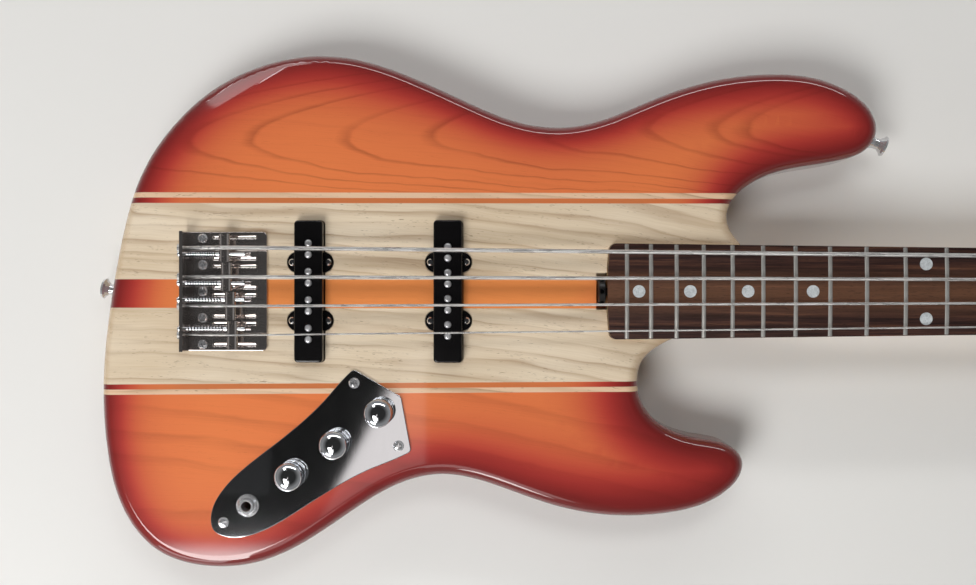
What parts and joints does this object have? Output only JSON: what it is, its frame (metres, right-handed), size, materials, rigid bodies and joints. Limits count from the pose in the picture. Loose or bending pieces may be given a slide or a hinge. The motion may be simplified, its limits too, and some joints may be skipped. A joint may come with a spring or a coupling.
{
  "type": "electric bass guitar",
  "caption": "Solid-body electric bass guitar with offset waist, long bolt-on neck, plate bridge with barrel saddles, slim pickups and an angled chrome control plate.",
  "frame": {"origin": "on the flat back of the body, below the bridge end of the string scale on the string centre line", "axes": "+X along the neck towards the headstock, +Y towards the thickest string, +Z out of the face"},
  "size_m": [1.1701, 0.3353, 0.0684],
  "materials": {
    "ash_body": "gloss lacquer",
    "maple": "satin lacquer",
    "rosewood": "oiled",
    "fret_wire": "polished",
    "inlay": "pearl",
    "bone": "polished",
    "rod_steel": "plain",
    "chrome": "mirror",
    "string_wire": "wound",
    "spring_steel": "bright",
    "black_plastic": "fine",
    "magnet": "bright",
    "coil_wire": "enamelled wire and fibre board",
    "foam": "open cell foam",
    "cable": "insulated"
  },
  "bodies": {
    "instrument": {"body": "ash_body", "bridge_plate": "chrome", "bridge_screws": "chrome", "control_nuts": "chrome", "control_plate": "chrome", "control_plate_screws": "chrome", "fretboard": "rosewood", "frets": "fret_wire", "headstock_screws": "chrome", "inlay_dots": "inlay", "intonation_springs": "spring_steel", "neck": "maple", "neck_plate": "chrome", "neck_screws": "chrome", "nut": "bone", "output_jack": "chrome", "pickup_foam": "foam", "potentiometers": "rod_steel", "strap_button_screws": "chrome", "strap_buttons": "chrome", "string_a": "string_wire", "string_d": "string_wire", "string_e": "string_wire", "string_g": "string_wire", "string_retainer": "chrome", "truss_rod": "rod_steel", "tuner_ferrules": "chrome", "tuner_plates": "chrome", "wiring": "cable"},
    "key_e": {"tuner_key_e": "chrome"},
    "post_e": {"tuner_post_e": "chrome"},
    "saddle_e_body": {"saddle_e": "chrome"},
    "intonation_e": {"intonation_screw_e": "chrome"},
    "key_a": {"tuner_key_a": "chrome"},
    "post_a": {"tuner_post_a": "chrome"},
    "saddle_a_body": {"saddle_a": "chrome"},
    "intonation_a": {"intonation_screw_a": "chrome"},
    "key_d": {"tuner_key_d": "chrome"},
    "post_d": {"tuner_post_d": "chrome"},
    "saddle_d_body": {"saddle_d": "chrome"},
    "intonation_d": {"intonation_screw_d": "chrome"},
    "key_g": {"tuner_key_g": "chrome"},
    "post_g": {"tuner_post_g": "chrome"},
    "saddle_g_body": {"saddle_g": "chrome"},
    "intonation_g": {"intonation_screw_g": "chrome"},
    "neck_volume": {"neck_volume_knob": "chrome", "neck_volume_shaft": "chrome"},
    "bridge_volume": {"bridge_volume_knob": "chrome", "bridge_volume_shaft": "chrome"},
    "tone": {"tone_knob": "chrome", "tone_shaft": "chrome"},
    "bridge_pickup_body": {"bridge_pickup_cover": "black_plastic", "bridge_pickup_coil": "coil_wire", "bridge_pickup_poles": "magnet", "bridge_pickup_screws": "chrome"},
    "neck_pickup_body": {"neck_pickup_cover": "black_plastic", "neck_pickup_coil": "coil_wire", "neck_pickup_poles": "magnet", "neck_pickup_screws": "chrome"},
    "truss_wheel_body": {"truss_wheel": "chrome"}
  },
  "joints": [
    {"name": "key_e_turn", "type": "hinge", "parent": "instrument", "child": "key_e", "pos_m": [0.9284, 0.01993, 0.02245], "axis": [0.2639, 0.9646, 0], "continuous": true},
    {"name": "post_e_turn", "type": "hinge", "parent": "instrument", "child": "post_e", "pos_m": [0.9176, 0.02288, 0.0289], "axis": [0, 0, 1], "continuous": true, "deforming": ["string_e"]},
    {"name": "intonation_e_turn", "type": "hinge", "parent": "instrument", "child": "intonation_e", "pos_m": [-0.0286, 0.02406, 0.05431], "axis": [1, 0, 0], "range_deg": [-2160, 2160]},
    {"name": "saddle_e_slide", "type": "slide", "parent": "instrument", "child": "saddle_e_body", "axis": [1, 0, 0], "range_m": [-0.0035, 0.0035], "deforming": ["intonation_springs", "string_e"]},
    {"name": "key_a_turn", "type": "hinge", "parent": "instrument", "child": "key_a", "pos_m": [0.9684, 0.00815, 0.02245], "axis": [0.2639, 0.9646, 0], "continuous": true},
    {"name": "post_a_turn", "type": "hinge", "parent": "instrument", "child": "post_a", "pos_m": [0.9576, 0.0111, 0.0289], "axis": [0, 0, 1], "continuous": true, "deforming": ["string_a"]},
    {"name": "intonation_a_turn", "type": "hinge", "parent": "instrument", "child": "intonation_a", "pos_m": [-0.0286, 0.00535, 0.05545], "axis": [1, 0, 0], "range_deg": [-2160, 2160]},
    {"name": "saddle_a_slide", "type": "slide", "parent": "instrument", "child": "saddle_a_body", "axis": [1, 0, 0], "range_m": [-0.0035, 0.0035], "deforming": ["intonation_springs", "string_a"]},
    {"name": "key_d_turn", "type": "hinge", "parent": "instrument", "child": "key_d", "pos_m": [1.0084, -0.00299, 0.02245], "axis": [0.2639, 0.9646, 0], "continuous": true},
    {"name": "post_d_turn", "type": "hinge", "parent": "instrument", "child": "post_d", "pos_m": [0.9976, -0.00003, 0.0289], "axis": [0, 0, 1], "continuous": true, "deforming": ["string_d"]},
    {"name": "intonation_d_turn", "type": "hinge", "parent": "instrument", "child": "intonation_d", "pos_m": [-0.0286, -0.00534, 0.05544], "axis": [1, 0, 0], "range_deg": [-2160, 2160]},
    {"name": "saddle_d_slide", "type": "slide", "parent": "instrument", "child": "saddle_d_body", "axis": [1, 0, 0], "range_m": [-0.0035, 0.0035], "deforming": ["intonation_springs", "string_d"]},
    {"name": "key_g_turn", "type": "hinge", "parent": "instrument", "child": "key_g", "pos_m": [1.0484, -0.0135, 0.02245], "axis": [0.2639, 0.9646, 0], "continuous": true},
    {"name": "post_g_turn", "type": "hinge", "parent": "instrument", "child": "post_g", "pos_m": [1.0376, -0.01055, 0.0289], "axis": [0, 0, 1], "continuous": true, "deforming": ["string_g"]},
    {"name": "intonation_g_turn", "type": "hinge", "parent": "instrument", "child": "intonation_g", "pos_m": [-0.0286, -0.024, 0.05429], "axis": [1, 0, 0], "range_deg": [-2160, 2160]},
    {"name": "saddle_g_slide", "type": "slide", "parent": "instrument", "child": "saddle_g_body", "axis": [1, 0, 0], "range_m": [-0.0035, 0.0035], "deforming": ["intonation_springs", "string_g"]},
    {"name": "neck_volume_turn", "type": "hinge", "parent": "instrument", "child": "neck_volume", "pos_m": [0.09832, -0.07789, 0.044], "axis": [0, 0, 1], "range_deg": [-150, 150]},
    {"name": "bridge_volume_turn", "type": "hinge", "parent": "instrument", "child": "bridge_volume", "pos_m": [0.06959, -0.09822, 0.044], "axis": [0, 0, 1], "range_deg": [-150, 150]},
    {"name": "tone_turn", "type": "hinge", "parent": "instrument", "child": "tone", "pos_m": [0.04085, -0.11855, 0.044], "axis": [0, 0, 1], "range_deg": [-150, 150]},
    {"name": "bridge_pickup_height", "type": "slide", "parent": "instrument", "child": "bridge_pickup_body", "axis": [0, 0, 1], "range_m": [-0.002, 0.003], "deforming": ["pickup_foam"]},
    {"name": "neck_pickup_height", "type": "slide", "parent": "instrument", "child": "neck_pickup_body", "axis": [0, 0, 1], "range_m": [-0.002, 0.003], "deforming": ["pickup_foam"]},
    {"name": "truss_wheel_turn", "type": "hinge", "parent": "instrument", "child": "truss_wheel_body", "pos_m": [0.2414, 0, 0.04245], "axis": [1, 0, 0], "range_deg": [-360, 360]}
  ],
  "couplings": [
    {"joint": "post_e_turn", "follows": "key_e_turn", "ratio": -0.05},
    {"joint": "intonation_e_turn", "follows": "saddle_e_slide", "rad_per_m": 8976},
    {"joint": "post_a_turn", "follows": "key_a_turn", "ratio": -0.05},
    {"joint": "intonation_a_turn", "follows": "saddle_a_slide", "rad_per_m": 8976},
    {"joint": "post_d_turn", "follows": "key_d_turn", "ratio": -0.05},
    {"joint": "intonation_d_turn", "follows": "saddle_d_slide", "rad_per_m": 8976},
    {"joint": "post_g_turn", "follows": "key_g_turn", "ratio": -0.05},
    {"joint": "intonation_g_turn", "follows": "saddle_g_slide", "rad_per_m": 8976}
  ]
}
